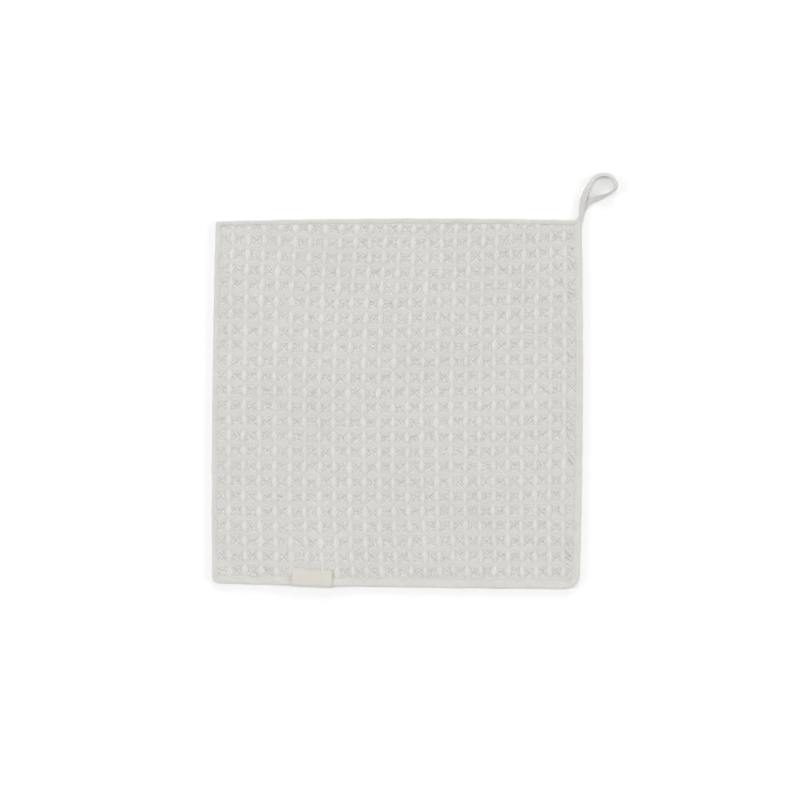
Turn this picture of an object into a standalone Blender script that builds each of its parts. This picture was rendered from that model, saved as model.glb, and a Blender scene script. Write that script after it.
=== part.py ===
"""Bar towel lying flat: a waffle-weave cloth in a bound edge, a tape loop at one corner and a folded label.

Lengths are in metres. x runs to the right, y to the top edge and z up from the surface below.
"""

import math

import bmesh
import bpy
from mathutils import Vector

# Outer edge of the towel, from the middle of the cloth: corners a little out of square
BOTTOM_LEFT = Vector((-0.1498, -0.1458))
BOTTOM_RIGHT = Vector((0.1476, -0.1504))
TOP_RIGHT = Vector((0.1494, 0.1482))
TOP_LEFT = Vector((-0.1468, 0.1472))
TOWEL_WIDE = 0.2985
TOWEL_TALL = 0.2970
BOW_BOTTOM = 0.0008
BOW_RIGHT = 0.0019
BOW_TOP = 0.0020
BOW_LEFT = 0.0013
RADIUS_BOTTOM_LEFT = 0.0060
RADIUS_BOTTOM_RIGHT = 0.0110
RADIUS_TOP_RIGHT = 0.0022
RADIUS_TOP_LEFT = 0.0018

# Middle of the whole outline with its loop, from the middle of the cloth
MIDDLE_X = 0.0142
MIDDLE_Y = 0.0185

# Waffle weave: ribs and rows of hollows, counted from the left and from the top
HOLLOW_COLUMNS = 23
HOLLOW_ROWS = 23
FIRST_RIB = 0.0162
RIB_PITCH = 0.01174
FIRST_ROW_MIDDLE = 0.0151
FIRST_ROW_BOW = 0.0085
LAST_ROW_LEFT = 0.0050
LAST_ROW_DROP = 0.0030

# How far the ribs lie from an even spacing, as shares of a cell
COLUMNS_BACK = -0.25
COLUMNS_SWELL = 0.28
COLUMNS_BOW = 0.40
ROWS_SLANT = 0.07

# Heights of the cloth above the surface below
RIB_TOP = 0.0028
HOLLOW_TOP = 0.0013
RIB_UNDER = 0.0000
HOLLOW_UNDER = 0.0015
EDGE_TOP = 0.0017
EDGE_UNDER = 0.0009
CLOTH_IN_BINDING = 0.0013
FLAT_PAST_BINDING = 0.0006
RELIEF_FADE = 0.0045
FLAT_ON_RIB = 0.0012
LENS_HALF = 0.0013

# Binding: a tape folded over the cloth's edge
BINDING_LEFT = 0.0045
BINDING_RIGHT = 0.0056
BINDING_BOTTOM = 0.0062
BINDING_TOP = 0.0040
SIDE_STEPS = 24
CORNER_STEPS = 4
SMALLEST_RADIUS = 0.0004

# Label: a woven strip folded over the bottom edge, a little askew
LABEL_LEFT_END = Vector((-0.0853, -0.1473))
LABEL_RIGHT_END = Vector((-0.0527, -0.1488))
LABEL_LIFT = 0.00075
LABEL_REACH_UP = 0.0144
LABEL_BESIDE = 0.0070
LABEL_RAMP = 0.0140
LABEL_ABOVE = 0.0200

# Loop tape
TAPE_THICK = 0.0009
TAPE_EDGE = 0.0004
STEM_TOP = 0.1535
STEPS_BETWEEN_STATIONS = 2

# Binding section: share of the binding's width, distance further in from the outer edge, height
BINDING_SECTION = (
    (0.0, 0.0000, 0.0013),
    (0.0, 0.0003, 0.0021),
    (0.0, 0.0010, 0.0026),
    (1.0, -0.0007, 0.0026),
    (1.0, 0.0000, 0.0020),
    (0.0, 0.0010, 0.0020),
    (0.0, 0.0010, 0.0006),
    (1.0, 0.0000, 0.0006),
    (1.0, 0.0000, 0.0000),
    (0.0, 0.0008, 0.0000),
    (0.0, 0.0002, 0.0005),
)

# Label section: distance in from the towel's edge, height; outside first, then back along the inside
LABEL_SECTION = (
    (LABEL_REACH_UP, 0.00380),
    (0.0060, 0.00410),
    (0.00055, 0.00410),
    (-0.00045, 0.00345),
    (-0.00085, 0.00205),
    (-0.00050, 0.00070),
    (0.00045, 0.00000),
    (0.0125, 0.00000),
    (0.0125, 0.00045),
    (0.0006, 0.00045),
    (-0.00015, 0.00100),
    (-0.00040, 0.00205),
    (-0.00010, 0.00315),
    (0.0007, 0.00365),
    (0.0060, 0.00365),
    (LABEL_REACH_UP, 0.00335),
)

# Loop, from one end at the corner round to the other: x, y, width, tilt in degrees, height of its low edge
LOOP_STATIONS = (
    (0.1471, 0.1490, 0.0078, 0, 0.00135),
    (0.1484, 0.1504, 0.0047, 0, 0.00130),
    (0.1491, 0.1520, 0.0040, 0, 0.00125),
    (0.1495, 0.1548, 0.0044, 0, 0.00125),
    (0.1501, 0.1594, 0.0048, 0, 0.00125),
    (0.1509, 0.1639, 0.0051, -4, 0.00125),
    (0.1520, 0.1682, 0.0052, -10, 0.00110),
    (0.1536, 0.1723, 0.0050, -24, 0.00060),
    (0.1555, 0.1761, 0.0048, -36, 0.00030),
    (0.1576, 0.1796, 0.0048, -47, 0.00010),
    (0.1601, 0.1826, 0.0048, -50, 0.00000),
    (0.1634, 0.1844, 0.0048, -50, 0.00000),
    (0.1672, 0.1851, 0.0048, -50, 0.00000),
    (0.1708, 0.1849, 0.0048, -50, 0.00000),
    (0.1738, 0.1832, 0.0048, -47, 0.00000),
    (0.1760, 0.1806, 0.0048, -44, 0.00000),
    (0.1773, 0.1781, 0.0048, -44, 0.00000),
    (0.1775, 0.1755, 0.0048, -50, 0.00000),
    (0.1762, 0.1733, 0.0048, -64, 0.00000),
    (0.1737, 0.1709, 0.0048, -68, 0.00000),
    (0.1702, 0.1688, 0.0048, -65, 0.00000),
    (0.1665, 0.1673, 0.0049, -46, 0.00000),
    (0.1626, 0.1660, 0.0050, -26, 0.00000),
    (0.1586, 0.1647, 0.0051, -10, 0.00000),
    (0.1558, 0.1632, 0.0050, -4, 0.00000),
    (0.1535, 0.1612, 0.0047, 0, 0.00000),
    (0.1514, 0.1578, 0.0044, 0, 0.00000),
    (0.1499, 0.1545, 0.0042, 0, 0.00000),
    (0.1491, 0.1518, 0.0040, 0, 0.00000),
    (0.1484, 0.1504, 0.0047, 0, 0.00000),
    (0.1471, 0.1490, 0.0078, 0, 0.00000),
)


def limited(value):
    """A share, kept between 0 and 1."""
    return min(1.0, max(0.0, value))


def mix(first, second, share):
    """A value between two others."""
    return first + (second - first) * share


def place(across, up):
    """A point of the towel as it lies, from its distances to the left and bottom edges."""
    u = across / TOWEL_WIDE
    v = up / TOWEL_TALL
    low = BOTTOM_LEFT.lerp(BOTTOM_RIGHT, u)
    high = TOP_LEFT.lerp(TOP_RIGHT, u)
    spot = low.lerp(high, v)
    spot.x += 4 * v * (1 - v) * mix(-BOW_LEFT, BOW_RIGHT, u)
    spot.y += 4 * u * (1 - u) * mix(-BOW_BOTTOM, BOW_TOP, v)
    return spot


def label_share(spot):
    """How fully a point lies over the label: 1 on it, falling to 0 a little way off."""
    middle = (LABEL_LEFT_END.x + LABEL_RIGHT_END.x) / 2
    half = (LABEL_RIGHT_END.x - LABEL_LEFT_END.x) / 2
    beside = 1 - (abs(spot.x - middle) - half - LABEL_BESIDE) / LABEL_RAMP
    above = 1 - (spot.y - LABEL_LEFT_END.y - LABEL_REACH_UP - LABEL_BESIDE) / LABEL_ABOVE
    return limited(beside) * limited(above)


def raised(spot, height):
    """A point at a height, lifted where the label's back leaf lies below."""
    return (spot.x, spot.y, height + LABEL_LIFT * label_share(spot))


def corner_arc(corner, inward, radius, first_angle):
    """Points round one corner, counter-clockwise; inward is the direction to the towel's middle."""
    centre = (corner[0] + inward[0] * radius, corner[1] + inward[1] * radius)
    arc = []
    for step in range(CORNER_STEPS + 1):
        angle = math.radians(first_angle + 90 * step / CORNER_STEPS)
        arc.append((centre[0] + radius * math.cos(angle), centre[1] + radius * math.sin(angle)))
    return arc


def edge_ring(share, further):
    """Points round the towel at one distance in from its edge, the same number at every distance."""
    left = share * BINDING_LEFT + further
    right = TOWEL_WIDE - share * BINDING_RIGHT - further
    low = share * BINDING_BOTTOM + further
    high = TOWEL_TALL - share * BINDING_TOP - further
    corners = (
        ((left, low), (1, 1), RADIUS_BOTTOM_LEFT, 180),
        ((right, low), (-1, 1), RADIUS_BOTTOM_RIGHT, 270),
        ((right, high), (-1, -1), RADIUS_TOP_RIGHT, 0),
        ((left, high), (1, -1), RADIUS_TOP_LEFT, 90),
    )
    arcs = []
    for corner, inward, radius, first_angle in corners:
        depth = further + share * (BINDING_LEFT + BINDING_BOTTOM) / 2
        arcs.append(corner_arc(corner, inward, max(SMALLEST_RADIUS, radius - depth), first_angle))
    ring = []
    for number, arc in enumerate(arcs):
        following = arcs[(number + 1) % len(arcs)][0]
        ring += [place(*point) for point in arc]
        for step in range(1, SIDE_STEPS):
            across = mix(arc[-1][0], following[0], step / SIDE_STEPS)
            up = mix(arc[-1][1], following[1], step / SIDE_STEPS)
            ring.append(place(across, up))
    return ring


def weave_distances(column, row):
    """Distances to the left and bottom edges of a point of the weave.

    Whole numbers are ribs and halves are hollows.
    """
    across = FIRST_RIB + column * RIB_PITCH
    u = across / TOWEL_WIDE
    first = TOWEL_TALL - FIRST_ROW_MIDDLE + FIRST_ROW_BOW * (1 - math.sin(math.pi * u))
    last = LAST_ROW_LEFT + LAST_ROW_DROP * u * u
    from_middle = 2 * row / HOLLOW_ROWS - 1
    swell = math.sin(math.pi * u) * (COLUMNS_SWELL + COLUMNS_BOW * from_middle * from_middle)
    across += RIB_PITCH * (COLUMNS_BACK + swell)
    row += ROWS_SLANT * math.cos(1.4 * math.pi * u)
    return across, mix(first, last, row / HOLLOW_ROWS)


def relief_share(across, up):
    """How deep the weave is: flat at the binding and pressed under the label."""
    depth = min(
        across - BINDING_LEFT,
        TOWEL_WIDE - across - BINDING_RIGHT,
        up - BINDING_BOTTOM,
        TOWEL_TALL - up - BINDING_TOP,
    )
    pressed = 0.5 if label_share(place(across, up)) > 0.9 else 1.0
    return pressed * limited((depth - FLAT_PAST_BINDING) / RELIEF_FADE)


def weave_corner(points, column, row, edge_height, full_height):
    """Adds one point of the weave and gives its number."""
    across, up = weave_distances(column, row)
    height = mix(edge_height, full_height, relief_share(across, up))
    points.append(raised(place(across, up), height))
    return len(points) - 1


def weave_face_above(points, faces):
    """The upper side: ribs meet at whole numbers and hollows lie between. Gives the ring round it.

    The upright ribs swell into flat lenses.
    """
    ribs = {}
    hollows = {}
    left_sides = {}
    right_sides = {}
    swell = LENS_HALF / RIB_PITCH
    for row in range(HOLLOW_ROWS):
        for column in range(HOLLOW_COLUMNS + 1):
            ribs[column, row] = weave_corner(points, column, row, EDGE_TOP, RIB_TOP)
            hollows[column, row] = weave_corner(points, column - 0.5, row + 0.5, EDGE_TOP, HOLLOW_TOP)
    last = HOLLOW_ROWS - 1
    for row in range(last):
        for column in range(HOLLOW_COLUMNS + 1):
            left_sides[column, row] = weave_corner(points, column - swell, row + 0.5, EDGE_TOP, RIB_TOP)
            right_sides[column, row] = weave_corner(points, column + swell, row + 0.5, EDGE_TOP, RIB_TOP)
            lens = (ribs[column, row], left_sides[column, row])
            faces.append(lens + (ribs[column, row + 1], right_sides[column, row]))
    for row in range(HOLLOW_ROWS):
        for column in range(HOLLOW_COLUMNS + 1):
            around = []
            if column > 0:
                around = [ribs[column, row], ribs[column - 1, row]]
                if row < last:
                    around += [right_sides[column - 1, row], ribs[column - 1, row + 1]]
                    around += [ribs[column, row + 1], left_sides[column, row], ribs[column, row]]
            elif row < last:
                around = [ribs[0, row + 1], left_sides[0, row], ribs[0, row]]
            for first, second in zip(around, around[1:]):
                faces.append((hollows[column, row], first, second))
            if column == 0 and row > 0:
                faces.append((hollows[0, row], ribs[0, row], hollows[0, row - 1]))
            if row == last and column > 0:
                faces.append((hollows[column, row], ribs[column - 1, row], hollows[column - 1, row]))
    ring = [hollows[column, last] for column in range(HOLLOW_COLUMNS + 1)]
    for row in range(last, 0, -1):
        ring += [ribs[HOLLOW_COLUMNS, row], right_sides[HOLLOW_COLUMNS, row - 1]]
    ring += [ribs[column, 0] for column in range(HOLLOW_COLUMNS, -1, -1)]
    ring += [hollows[0, row] for row in range(last)]
    return ring


def weave_face_below(points, faces):
    """The under side: ribs with flat lands meet at the halves, half a cell over from those above.

    Gives the ring round it.
    """
    ribs = {}
    for row in range(HOLLOW_ROWS):
        for column in range(HOLLOW_COLUMNS + 1):
            ribs[column, row] = weave_corner(points, column - 0.5, row + 0.5, EDGE_UNDER, RIB_UNDER)
    in_from_rib = 0.5 - FLAT_ON_RIB / (2 * RIB_PITCH)
    for row in range(1, HOLLOW_ROWS):
        for column in range(HOLLOW_COLUMNS):
            hollow = weave_corner(points, column, row, EDGE_UNDER, HOLLOW_UNDER)
            outer = [ribs[column, row - 1], ribs[column + 1, row - 1]]
            outer += [ribs[column + 1, row], ribs[column, row]]
            inner = []
            for across, down in ((-1, -1), (1, -1), (1, 1), (-1, 1)):
                near_column = column + across * in_from_rib
                near_row = row + down * in_from_rib
                inner.append(weave_corner(points, near_column, near_row, EDGE_UNDER, RIB_UNDER))
            for corner in range(4):
                following = (corner + 1) % 4
                faces.append((hollow, inner[corner], inner[following]))
                faces.append((inner[corner], outer[corner], outer[following], inner[following]))
    last = HOLLOW_ROWS - 1
    ring = [ribs[column, last] for column in range(HOLLOW_COLUMNS + 1)]
    ring += [ribs[HOLLOW_COLUMNS, row] for row in range(last - 1, -1, -1)]
    ring += [ribs[column, 0] for column in range(HOLLOW_COLUMNS - 1, -1, -1)]
    ring += [ribs[0, row] for row in range(1, last)]
    return ring


def add_ring(points, share, further, height):
    """Adds a ring of points round the towel and gives their numbers."""
    first = len(points)
    ring = edge_ring(share, further)
    points.extend(raised(spot, height) for spot in ring)
    return list(range(first, len(points)))


def join_alike(faces, ring, other):
    """Faces between two rings with the same number of points."""
    for number in range(len(ring)):
        following = (number + 1) % len(ring)
        faces.append((ring[number], ring[following], other[following], other[number]))


def join_unlike(points, faces, outer, inner):
    """Triangles between an outer and an inner ring whose numbers of points differ."""

    def apart(one, other):
        return math.dist(points[one][:2], points[other][:2])

    start = min(range(len(outer)), key=lambda number: apart(outer[number], inner[0]))
    outer = outer[start:] + outer[: start + 1]
    inner = inner + inner[:1]
    at_outer = 0
    at_inner = 0
    while at_outer < len(outer) - 1 or at_inner < len(inner) - 1:
        here, there = outer[at_outer], inner[at_inner]
        along_outer = at_inner == len(inner) - 1
        if not along_outer and at_outer < len(outer) - 1:
            along_outer = apart(outer[at_outer + 1], there) <= apart(inner[at_inner + 1], here)
        if along_outer:
            faces.append((here, outer[at_outer + 1], there))
            at_outer += 1
        else:
            faces.append((here, inner[at_inner + 1], there))
            at_inner += 1


def add_object(name, points, faces, material):
    """One closed body with its faces turned outwards, smooth-edged by its own points."""
    mesh = bpy.data.meshes.new(name)
    mesh.from_pydata([(x - MIDDLE_X, y - MIDDLE_Y, z) for x, y, z in points], [], faces)
    body = bmesh.new()
    body.from_mesh(mesh)
    bmesh.ops.recalc_face_normals(body, faces=body.faces[:])
    bmesh.ops.triangulate(body, faces=body.faces[:])
    body.to_mesh(mesh)
    body.free()
    mesh.materials.append(material)
    obj = bpy.data.objects.new(name, mesh)
    bpy.context.scene.collection.objects.link(obj)
    return obj


def add_material(name, colour, roughness):
    """A plain cloth material."""
    material = bpy.data.materials.new(name)
    material.use_nodes = True
    shader = material.node_tree.nodes["Principled BSDF"]
    shader.inputs["Base Color"].default_value = (*colour, 1.0)
    shader.inputs["Roughness"].default_value = roughness
    return material


def waffle_panel(material):
    """The cloth: a waffle weave on both sides, flattened where the binding holds it."""
    points = []
    faces = []
    edge_above = add_ring(points, 0, CLOTH_IN_BINDING, EDGE_TOP)
    edge_below = add_ring(points, 0, CLOTH_IN_BINDING, EDGE_UNDER)
    seam_above = add_ring(points, 1, FLAT_PAST_BINDING, EDGE_TOP)
    seam_below = add_ring(points, 1, FLAT_PAST_BINDING, EDGE_UNDER)
    join_alike(faces, edge_above, edge_below)
    join_alike(faces, edge_above, seam_above)
    join_alike(faces, edge_below, seam_below)
    join_unlike(points, faces, seam_above, weave_face_above(points, faces))
    join_unlike(points, faces, seam_below, weave_face_below(points, faces))
    return add_object("waffle_panel", points, faces, material)


def edge_binding(material):
    """The tape folded over all four edges."""
    points = []
    faces = []
    rings = [add_ring(points, *section) for section in BINDING_SECTION]
    for number, ring in enumerate(rings):
        join_alike(faces, ring, rings[(number + 1) % len(rings)])
    return add_object("edge_binding", points, faces, material)


def folded_label(material):
    """The label: one strip over the edge, with a leaf on each side of the cloth."""
    along = (LABEL_RIGHT_END - LABEL_LEFT_END).normalized()
    inward = Vector((-along.y, along.x))
    points = []
    for end in (LABEL_LEFT_END, LABEL_RIGHT_END):
        for distance, height in LABEL_SECTION:
            spot = end + inward * distance
            points.append((spot.x, spot.y, height))
    count = len(LABEL_SECTION)
    faces = [tuple(range(count)), tuple(range(2 * count - 1, count - 1, -1))]
    for number in range(count):
        following = (number + 1) % count
        faces.append((number, following, count + following, count + number))
    return add_object("folded_label", points, faces, material)


def smooth_value(values, share):
    """A value on the smooth curve through four evenly spaced ones, between the middle two."""
    before, first, second, after = values
    slope_in = (second - before) / 2
    slope_out = (after - first) / 2
    rest = second - first
    square = share * share
    cube = square * share
    start = slope_in * (cube - 2 * square + share)
    end = slope_out * (cube - square)
    return first + start + end + rest * (3 * square - 2 * cube)


def loop_path():
    """Closely spaced stations along the loop tape."""
    last = len(LOOP_STATIONS) - 1
    path = []
    for number in range(last):
        around = [LOOP_STATIONS[min(last, max(0, number + shift))] for shift in (-1, 0, 1, 2)]
        for step in range(STEPS_BETWEEN_STATIONS):
            share = step / STEPS_BETWEEN_STATIONS
            path.append([smooth_value(column, share) for column in zip(*around)])
    path.append(list(LOOP_STATIONS[last]))
    return path


def tape_section(station, direction):
    """Six points round the tape, tilted about its own line, with its low edge at the stated height."""
    x, y, width, tilt, low_edge = station
    lean = math.radians(tilt)
    side = Vector((-direction.y * math.cos(lean), direction.x * math.cos(lean), math.sin(lean)))
    out = Vector((direction.y * math.sin(lean), -direction.x * math.sin(lean), math.cos(lean)))
    corners = (
        (width / 2, 0),
        (width / 2 - TAPE_EDGE, TAPE_THICK / 2),
        (TAPE_EDGE - width / 2, TAPE_THICK / 2),
        (-width / 2, 0),
        (TAPE_EDGE - width / 2, -TAPE_THICK / 2),
        (width / 2 - TAPE_EDGE, -TAPE_THICK / 2),
    )
    offsets = [side * along + out * up for along, up in corners]
    lowest = min(offset.z for offset in offsets)
    centre = Vector((x, y, max(0.0, low_edge) - lowest))
    return [tuple(centre + offset) for offset in offsets]


def hanging_loop(material):
    """The loop: one tape from the corner round and back, its two ends one above the other."""
    path = loop_path()
    points = []
    for number, station in enumerate(path):
        ahead = path[min(number + 1, len(path) - 1)]
        behind = path[max(number - 1, 0)]
        direction = Vector((ahead[0] - behind[0], ahead[1] - behind[1], 0)).normalized()
        if station[1] < STEM_TOP:
            direction = Vector((0, math.copysign(1, direction.y), 0))
        points.extend(tape_section(station, direction))
    faces = [(0, 1, 2, 3, 4, 5), tuple(range(len(points) - 1, len(points) - 7, -1))]
    for number in range(len(path) - 1):
        for corner in range(6):
            here = number * 6 + corner
            beside = number * 6 + (corner + 1) % 6
            faces.append((here, beside, beside + 6, here + 6))
    return add_object("hanging_loop", points, faces, material)


def main():
    for obj in list(bpy.data.objects):
        bpy.data.objects.remove(obj, do_unlink=True)
    waffle_panel(add_material("waffle_cloth", (0.69, 0.68, 0.65), 0.95))
    edge_binding(add_material("binding_tape", (0.71, 0.70, 0.67), 0.90))
    hanging_loop(add_material("loop_tape", (0.72, 0.71, 0.68), 0.90))
    folded_label(add_material("label_weave", (0.74, 0.70, 0.62), 0.80))


main()
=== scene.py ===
"""Bar towel lying flat, seen from straight above: waffle cloth, bound edge, corner loop and folded label.

Lengths are in metres unless a name says mm. x runs to the right, y to the top edge, z up from the surface.
"""

import math

import bpy
import numpy as np
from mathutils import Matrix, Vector


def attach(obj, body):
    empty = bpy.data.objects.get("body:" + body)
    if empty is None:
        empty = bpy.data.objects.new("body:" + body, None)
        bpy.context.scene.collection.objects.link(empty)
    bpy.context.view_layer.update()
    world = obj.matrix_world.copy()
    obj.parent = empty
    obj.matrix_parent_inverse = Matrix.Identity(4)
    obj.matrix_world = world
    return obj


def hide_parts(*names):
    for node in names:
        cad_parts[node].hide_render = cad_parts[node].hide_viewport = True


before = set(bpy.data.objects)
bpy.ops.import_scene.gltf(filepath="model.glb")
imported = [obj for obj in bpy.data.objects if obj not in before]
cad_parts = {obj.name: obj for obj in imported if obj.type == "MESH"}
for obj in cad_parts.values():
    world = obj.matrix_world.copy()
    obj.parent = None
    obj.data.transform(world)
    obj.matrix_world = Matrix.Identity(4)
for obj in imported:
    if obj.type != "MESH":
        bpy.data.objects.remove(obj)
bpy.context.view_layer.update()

# Outer edge of the towel, from the middle of the cloth: corners a little out of square
BOTTOM_LEFT = np.array((-0.1498, -0.1458))
BOTTOM_RIGHT = np.array((0.1476, -0.1504))
TOP_RIGHT = np.array((0.1494, 0.1482))
TOP_LEFT = np.array((-0.1468, 0.1472))
TOWEL_WIDE = 0.2985
TOWEL_TALL = 0.2970
BOW_BOTTOM = 0.0008
BOW_RIGHT = 0.0019
BOW_TOP = 0.0020
BOW_LEFT = 0.0013
RADIUS_BOTTOM_LEFT = 0.0060
RADIUS_BOTTOM_RIGHT = 0.0110
RADIUS_TOP_RIGHT = 0.0022
RADIUS_TOP_LEFT = 0.0018
SMALLEST_RADIUS = 0.0004

# The part's origin, the middle of the whole outline, from the middle of the cloth
MIDDLE = np.array((0.0142, 0.0185))

# Waffle weave: ribs and rows of hollows, counted from the left and from the top
HOLLOW_COLUMNS = 23
HOLLOW_ROWS = 23
FIRST_RIB = 0.0162
RIB_PITCH = 0.01174
FIRST_ROW_MIDDLE = 0.0151
FIRST_ROW_BOW = 0.0085
LAST_ROW_LEFT = 0.0050
LAST_ROW_DROP = 0.0030

# How far the ribs lie from an even spacing, as shares of a cell
COLUMNS_BACK = -0.25
COLUMNS_SWELL = 0.28
COLUMNS_BOW = 0.40
ROWS_SLANT = 0.07
ROWS_TURN = 1.4

# Waves in a random line and in a random surface
LINE_WAVES = 9
FIELD_WAVES = 24

# Random drift of the ribs: share of a cell, seeds for columns and rows, shortest and longest wave
WEAVE_DRIFT = (
    (0.035, 21, 22, 0.012, 0.030),
    (0.030, 23, 24, 0.050, 0.140),
)

# Heights of the cloth above the surface below; what varies by cell has a size and a seed
RANDOM_CELLS = 40
RIB_TOP = 0.00240
RIB_UNDER = 0.0000
HOLLOW_TOP = 0.00150
HOLLOW_VARIES = (0.00014, 31)
HOLLOW_UNDER = 0.0015
EDGE_TOP = 0.00204
EDGE_UNDER = 0.0009

# Unevenness of the upper side: size, seed, shortest and longest wave
UNEVEN_TOP = (0.00006, 33, 0.0035, 0.0080)

# Shapes of the ribs: how far across a cell they are level, and how soft their sides are
LEVEL_FLAT = 0.80
UPRIGHT_FLAT = 0.90
UNDER_FLAT = 0.92
RIB_EASED = 0.7

# Pointed swellings on the upright ribs: height, half width and tip as shares of a cell, start, point
LENS_ARCH = 0.00052
LENS_ARCH_VARIES = (0.35, 32)
LENS_WIDE = 0.20
LENS_WIDE_VARIES = (0.18, 35)
LENS_TIP = 0.006
LENS_FROM = 0.18
LENS_POINTED = 0.85

# Where the weave flattens: inside the binding, beside the seam and under the label
CLOTH_IN_BINDING = 0.0013
RELIEF_FROM = 0.0002
RELIEF_FADE = 0.0042
SHIFT_FROM = 0.001
SHIFT_FADE = 0.006
PRESSED_BY_LABEL = 0.35
PRESSED_FROM = 0.8

# Cloth beside the seam: gathers and a small rise; spans hold the depths of start, full part and fade
PUCKER_DEEP = 0.00012
PUCKER_PITCH = 0.0062
PUCKER_SLANT = 0.9
PUCKER_SWING = (2, 34, 0.03, 0.09)
PUCKER_SPAN = (0.001, 0.003, 0.006)
PUCKER_LEFT = 0.35
PUCKER_SIDE = 0.05
SEAM_RISE = 0.00012
SEAM_RISE_SPAN = (0.0005, 0.0008, 0.0022)

# Binding
BINDING_LEFT = 0.0045
BINDING_RIGHT = 0.0056
BINDING_BOTTOM = 0.0062
BINDING_TOP = 0.0040
BINDING_MEAN = 0.005
SIDE_STEPS = 220
CORNER_STEPS = 10
INWARD_STEP = 0.001

# Unevenness of the binding: size, seed, shortest and longest wave
GATHER_DEEP = 0.00007
GATHER_VARIES = (0.5, 43, 0.008, 0.030)
OUTER_WANDER = (0.00012, 41, 0.012, 0.050)
SEAM_WANDER = (0.00028, 42, 0.010, 0.045)
BINDING_SWELL = (0.00010, 44, 0.010, 0.040)

# Binding section: share of its width, distance further in, height, shares of wander and of gathers
BINDING_SECTION = (
    (0, 0, 0.00115, 1, 0),
    (0, 0.00004, 0.00160, 1, 0),
    (0, 0.00020, 0.00202, 1, 0),
    (0, 0.00052, 0.00232, 0.9, 0.1),
    (0, 0.00100, 0.00243, 0.7, 0.3),
    (0.30, 0.00060, 0.00246, 0.5, 0.5),
    (0.52, 0.00030, 0.00243, 0.5, 0.8),
    (0.70, 0.00010, 0.00236, 0.6, 1.0),
    (0.80, 0, 0.00232, 0.8, 1.0),
    (0.90, 0, 0.00229, 0.9, 1.0),
    (0.97, 0, 0.00225, 1.0, 0.7),
    (1, 0.00005, 0.00219, 1.0, 0.4),
    (1, 0, 0.00211, 1.0, 0.3),
    (0.50, 0, 0.00210, 0.5, 0.0),
    (0, 0.00100, 0.00208, 1, 0),
    (0, 0.00085, 0.00130, 1, 0),
    (0, 0.00100, 0.00080, 1, 0),
    (0.50, 0, 0.00078, 0.5, 0.0),
    (1, 0, 0.00070, 1, 0),
    (1, 0.00010, 0.00030, 1, 0),
    (1, -0.00040, 0, 1, 0),
    (0.50, 0, 0, 0.5, 0.0),
    (0, 0.00110, 0, 1, 0),
    (0, 0.00045, 0.00025, 1, 0),
    (0, 0.00012, 0.00070, 1, 0),
)

# Stitches of the binding, and the rings of one stitch: share along, share of thickness, how far it sinks
STITCH_PITCH = 0.0032
STITCH_LONG = 0.0023
STITCH_THICK = 0.00030
STITCH_SHARE = 0.80
STITCH_ABOVE = 0.00238
STITCH_BELOW = 0.00006
STITCH_ASTRAY = 0.00012
ROD_RINGS = ((0, 0.35, 1.1), (0.12, 0.85, 0.35), (0.5, 1.0, 0), (0.88, 0.85, 0.35), (1, 0.35, 1.1))
ROD_SIDES = 6

# Label: its ends on the edge, and how its back leaf lifts the cloth round about
LABEL_LEFT_END = np.array((-0.0853, -0.1473))
LABEL_RIGHT_END = np.array((-0.0527, -0.1488))
LABEL_REACH_UP = 0.0144
LABEL_THICK = 0.00030
LABEL_STEPS = 28
LABEL_LIFT = 0.00075
LABEL_BESIDE = 0.0070
LABEL_RAMP = 0.0140
LABEL_ABOVE = 0.0200

# Label section: distance in from the towel's edge, height, along the middle of the strip
LABEL_LINE = (
    (LABEL_REACH_UP, 0.00312), (0.0126, 0.00326), (0.0100, 0.00348), (0.0070, 0.00364),
    (0.0035, 0.00372), (0.0012, 0.00366), (0.0002, 0.00336), (-0.00045, 0.00275),
    (-0.00064, 0.00200), (-0.00045, 0.00115), (-0.00005, 0.00050), (0.0008, 0.00022),
    (0.0030, 0.00020), (0.0060, 0.00020), (0.0095, 0.00020), (0.0125, 0.00020),
)

# Unevenness of the label's upper leaf
LABEL_WAVE = 0.00010
LABEL_RIPPLE = 0.00005
LABEL_WAVE_FROM = 0.0020
LABEL_WAVE_RAMP = 0.0015
LABEL_SLANT = 0.00025
LABEL_LOWEST = 0.00003

# Stitches of the label: distance past its upper end and height, of the low and the high end of each
LABEL_STITCH_PITCH = 0.0027
LABEL_STITCH_LOW = (-0.0021, 0.00352)
LABEL_STITCH_HIGH = (0.0002, 0.00334)
LABEL_STITCH_RADIUS = 0.00013
LABEL_STITCH_ASTRAY = 0.00015
LABEL_STITCH_LEAN = 0.0002

# Loop tape
TAPE_THICK = 0.0009
TAPE_ROUGH = (0.00010, 51, 0.004, 0.015)
STEM_TOP = 0.1535
STATION_STEPS = 8

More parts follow.
